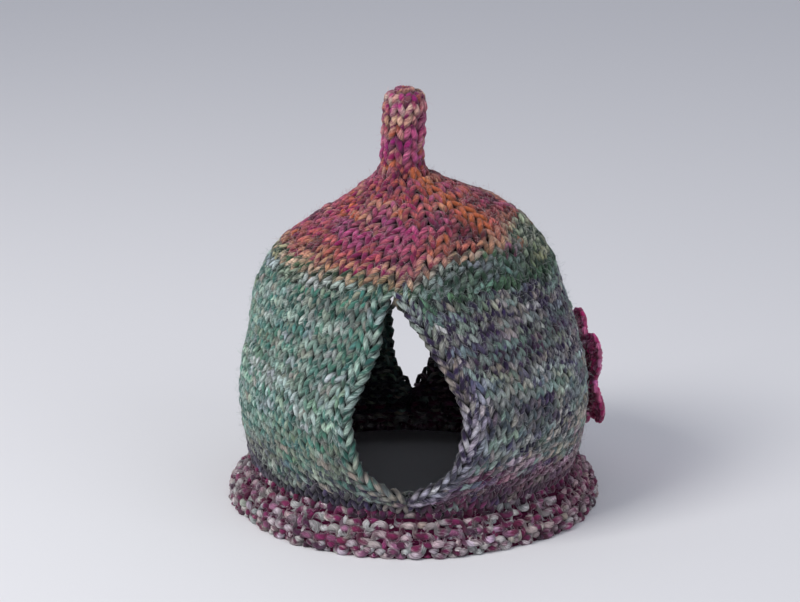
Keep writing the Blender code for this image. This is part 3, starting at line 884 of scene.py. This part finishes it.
def fuzz_tree():
    """Scatters bent hairs over the outer side of the yarn."""
    g = new_tree("Wool Fuzz", (
        ("Density", "Float"), ("Hair Radius", "Float"), ("Hair Length", "Float"), ("Seed", "Int"), ("Material", "Material"),
    ))
    given = g.add("NodeGroupInput")
    outward = g.add("ShaderNodeVectorMath", {"operation": "DOT_PRODUCT"}, {
        0: g.add("GeometryNodeInputNormal").out(), 1: g.add("GeometryNodeInputPosition").out(),
    }).wire("Value")
    level = g.add("ShaderNodeSeparateXYZ", {}, {"Vector": g.add("GeometryNodeInputPosition").out()}).wire("Z")
    outer = g.add("FunctionNodeBooleanMath", {"operation": "AND"}, {
        0: g.add("FunctionNodeCompare", {"data_type": "FLOAT", "operation": "GREATER_THAN"}, {0: outward, 1: 0.012}).out(),
        1: g.add("FunctionNodeCompare", {"data_type": "FLOAT", "operation": "GREATER_THAN"}, {0: level, 1: 0.005}).out(),
    })
    spots = g.add("GeometryNodeDistributePointsOnFaces", {"distribute_method": "RANDOM"}, {
        "Mesh": given.out("Geometry"), "Selection": outer.out(), "Density": given.out("Density"), "Seed": given.out("Seed"),
    })
    lean = g.add("FunctionNodeRandomValue", {"data_type": "FLOAT_VECTOR"}, {
        "Min": (-1.25, -1.25, -3.14), "Max": (1.25, 1.25, 3.14), "Seed": given.out("Seed"),
    })
    turned = g.add("FunctionNodeRotateRotation", {"rotation_space": "LOCAL"}, {
        "Rotation": spots.out("Rotation"), "Rotate By": g.add("FunctionNodeEulerToRotation", {}, {"Euler": lean.out()}).out(),
    })
    hair = g.add("GeometryNodeCurveQuadraticBezier", {}, {
        "Resolution": 2, "Start": (0.0, 0.0, 0.0), "Middle": (0.0, 0.3, 0.55), "End": (0.0, 0.95, 0.5),
    })
    ring = g.add("GeometryNodeCurvePrimitiveCircle", {}, {"Resolution": 3, "Radius": given.out("Hair Radius")})
    size = g.add("FunctionNodeRandomValue", {"data_type": "FLOAT"}, {
        "Min": 0.45, "Max": 1.3, "Seed": given.wire("Seed") + 1.0,
    })
    length = size.wire() * given.wire("Hair Length")
    long = g.add("GeometryNodeTransform", {}, {"Geometry": hair.out(), "Scale": (0.001,) * 3})
    thick = g.add("GeometryNodeCurveToMesh", {}, {"Curve": long.out(), "Profile Curve": ring.out()})
    hairs = g.add("GeometryNodeInstanceOnPoints", {}, {
        "Points": spots.out("Points"), "Instance": thick.out(), "Rotation": turned.out(),
        "Scale": g.add("ShaderNodeCombineXYZ", {}, {"X": length, "Y": length, "Z": length}).out(),
    })
    return finish_tree(g, hairs.out(), given)


def fuzz_material():
    """Hairs in the colour of their yarn, mixed towards pale grey: painted light for light passing through thin fibres.
    """
    material = bpy.data.materials.new("wool_fuzz")
    material.use_nodes = True
    g = Graph(material.node_tree)
    shader = g.tree.nodes["Principled BSDF"]
    own = [g.add("ShaderNodeAttribute", {"attribute_type": "GEOMETRY", "attribute_name": label}).out("Color")
           for label in ("ply_a", "ply_b")]
    both = g.add("ShaderNodeMix", {"data_type": "RGBA"}, {"Factor": 0.6, "A": own[0], "B": own[1]})
    # Painted light: the hairs are paled so that they look lit through, as thin fibres are.
    pale = g.add("ShaderNodeMix", {"data_type": "RGBA"}, {"Factor": 0.45, "A": both.out(), "B": (0.85, 0.85, 0.87, 1.0)})
    g.tree.links.new(pale.out(), shader.inputs["Base Color"])
    shader.inputs["Roughness"].default_value = 0.8
    shader.inputs["Specular IOR Level"].default_value = 0.2
    return material


FUZZ_TREE, FUZZ_WOOL = fuzz_tree(), fuzz_material()
for number, (name, hairs, size) in enumerate(FUZZ):
    mesh = bpy.data.objects[name].data
    area = sum(face.area for face in mesh.polygons)
    dress(grow(name + "_fuzz", mesh.copy(), FUZZ_TREE, Density=hairs / area * 2.6, Hair_Radius=HAIR_RADIUS * MM,
               Hair_Length=3.0 * size, Seed=number * 10, Material=FUZZ_WOOL))

# ---------------------------------------------------------------- Flower
# Crocheted apart in one magenta wool, five petals round a raised heart, and sewn on by its middle.
PETALS, FLOWER_RADIUS, FIRST_PETAL, NOTCH = 5, 25.5, math.radians(54.0), 0.50
FLOWER_BEARING, FLOWER_HEIGHT, FLOWER_TILT = math.radians(107.0), 47.0, math.radians(4.0)
PETAL_ROUNDNESS, PETAL_RIPPLE, PETAL_CURL, PETAL_LIFT = 0.55, 0.16, 1.6, 2.8
HEART_RADIUS, HEART_LIFT, SEWN_GAP, WRAP = 6.5, 1.6, 0.8, 0.8
CROCHET_ROWS = ((0.16, 6, 1.0), (0.34, 20, -1.0), (0.54, 30, 1.0), (0.74, 40, -1.0), (0.93, 46, 1.0))
CROCHET_LIFT = 1.45

# The flower's wool is painted lighter than the cosy's, with brighter pinks and little painted shade in its hollows:
# painted light where the flower faces away from the lamps.
BERRY, CANDY, GARNET = linear(196, 46, 114), linear(236, 128, 176), linear(130, 20, 70)
FLOWER_WOOL = wool("magenta_wool", 0.06, 6.0, 3.4, 0.2, 1.1)

wall_radius = float(np.interp(FLOWER_HEIGHT, [z for _, z in WALL_SIDE], [r for r, _ in WALL_SIDE]))
away = np.array((math.sin(FLOWER_BEARING), -math.cos(FLOWER_BEARING), 0.0))
flower_foot = away * (wall_radius + SEWN_GAP) + np.array((lean_at(FLOWER_HEIGHT), 0.0, FLOWER_HEIGHT))
flower_out = away * math.cos(FLOWER_TILT) + np.array((0.0, 0.0, math.sin(FLOWER_TILT)))
flower_across = np.cross((0.0, 0.0, 1.0), flower_out)
flower_across /= np.linalg.norm(flower_across)
flower_up = np.cross(flower_out, flower_across)


def petal_reach(turn):
    """Share of the flower's radius that its edge reaches at this angle."""
    return NOTCH + (1 - NOTCH) * np.abs(np.cos(PETALS * (turn - FIRST_PETAL) / 2)) ** PETAL_ROUNDNESS


def on_flower(share, turn, lift):
    """Points on the flower's face, a share of the way from its middle to its edge. Millimetres."""
    reach = share * petal_reach(turn)
    heart = np.maximum(0.0, 1 - reach * FLOWER_RADIUS / HEART_RADIUS)
    ripple = PETAL_RIPPLE * np.cos(PETALS * (turn - FIRST_PETAL)) * reach
    rise = HEART_LIFT * heart**2 + PETAL_LIFT * reach**PETAL_CURL * (1 + ripple)
    across, up = reach * FLOWER_RADIUS * np.sin(turn), reach * FLOWER_RADIUS * np.cos(turn)
    rise = rise - WRAP * across**2 / (2 * wall_radius) + lift
    return (flower_foot - across[:, None] * flower_across + up[:, None] * flower_up + rise[:, None] * flower_out)


guide = Guide()
for share, stitches, side in CROCHET_ROWS:
    count = stitches + 1
    turn = np.linspace(0.0, 2 * math.pi, count)
    notched = np.clip((petal_reach(turn) - NOTCH) / 0.35, 0.0, 1.0)
    lift = CROCHET_LIFT - 1.0 * (1.0 - notched) * (share > 0.6) + rng.normal(0.0, 0.15, count)
    co = on_flower(share + 0.0 * turn, turn, lift)
    co[-1] = co[0]
    up = on_flower(share + 0.04 + 0.0 * turn, turn, lift) - on_flower(share - 0.04 + 0.0 * turn, turn, lift)
    up = unit(up) * 3.2 * (0.3 + 0.7 * notched)[:, None]
    out = unit(np.cross(np.gradient(co, axis=0), up))
    out *= np.sign(out @ flower_out)[:, None]
    guide.line(co, up, out * side, marled(BERRY, CANDY, count, 0.3, (GARNET,), 0.3))
dress(grow("flower_crochet", guide.mesh("flower_crochet"), YARN_TREE, Yarn_Radius=1.15 * MM, Loop_Height=0.85,
           Waist=1.4, Depth=0.6 * MM, Steps=12, Sides=6, Looseness=0.8 * MM, Seed=7.0, Fullness=0.1,
           Material=FLOWER_WOOL), "flower")

mesh = web_of("flower", 1.05)
kept = mesh.attributes.new("dye_and_shade", "FLOAT_COLOR", "POINT")
kept.data.foreach_set("color", np.tile((*GARNET, 1.0), len(mesh.vertices)))
dress(as_piece("flower_ground", mesh, web_material("shadowed_flower_wool", 0.9)), "flower")

# ---------------------------------------------------------------- Studio
# A plain pale floor and soft light from the upper left, with a weaker fill from the right.


def plain_material(name, colour, roughness):
    """A matt surface."""
    material = bpy.data.materials.new(name)
    material.use_nodes = True
    g = Graph(material.node_tree)
    shader = g.tree.nodes["Principled BSDF"]
    shader.inputs["Base Color"].default_value = (*colour, 1.0)
    shader.inputs["Roughness"].default_value = roughness
    return material


mesh = bpy.data.meshes.new("floor")
mesh.from_pydata([(-6, -6, 0), (6, -6, 0), (6, 6, 0), (-6, 6, 0)], [], [(0, 1, 2, 3)])
as_piece("floor", mesh, plain_material("pale_floor", (0.78, 0.78, 0.8), 0.8))


def soft_light(name, place, size, power, colour):
    """A square soft light that faces the middle of the cosy."""
    light = bpy.data.lights.new(name, "AREA")
    light.size, light.energy, light.color = size, power, colour
    ob = bpy.data.objects.new(name, light)
    ob.location = place
    ob.rotation_euler = (Vector((0.0, 0.0, 0.08)) - Vector(place)).to_track_quat("-Z", "Y").to_euler()
    bpy.context.scene.collection.objects.link(ob)


soft_light("key_light", (-0.9, -0.6, 1.1), 0.6, 15.0, (1.0, 0.98, 0.95))
soft_light("fill_light", (1.0, -0.9, 0.7), 1.2, 4.0, (0.93, 0.96, 1.0))
world = bpy.data.worlds.new("studio")
world.use_nodes = True
world.node_tree.nodes["Background"].inputs["Color"].default_value = (0.86, 0.89, 1.0, 1.0)
world.node_tree.nodes["Background"].inputs["Strength"].default_value = 0.5
bpy.context.scene.world = world
bpy.context.scene.view_settings.view_transform = "Standard"

bpy.context.view_layer.update()
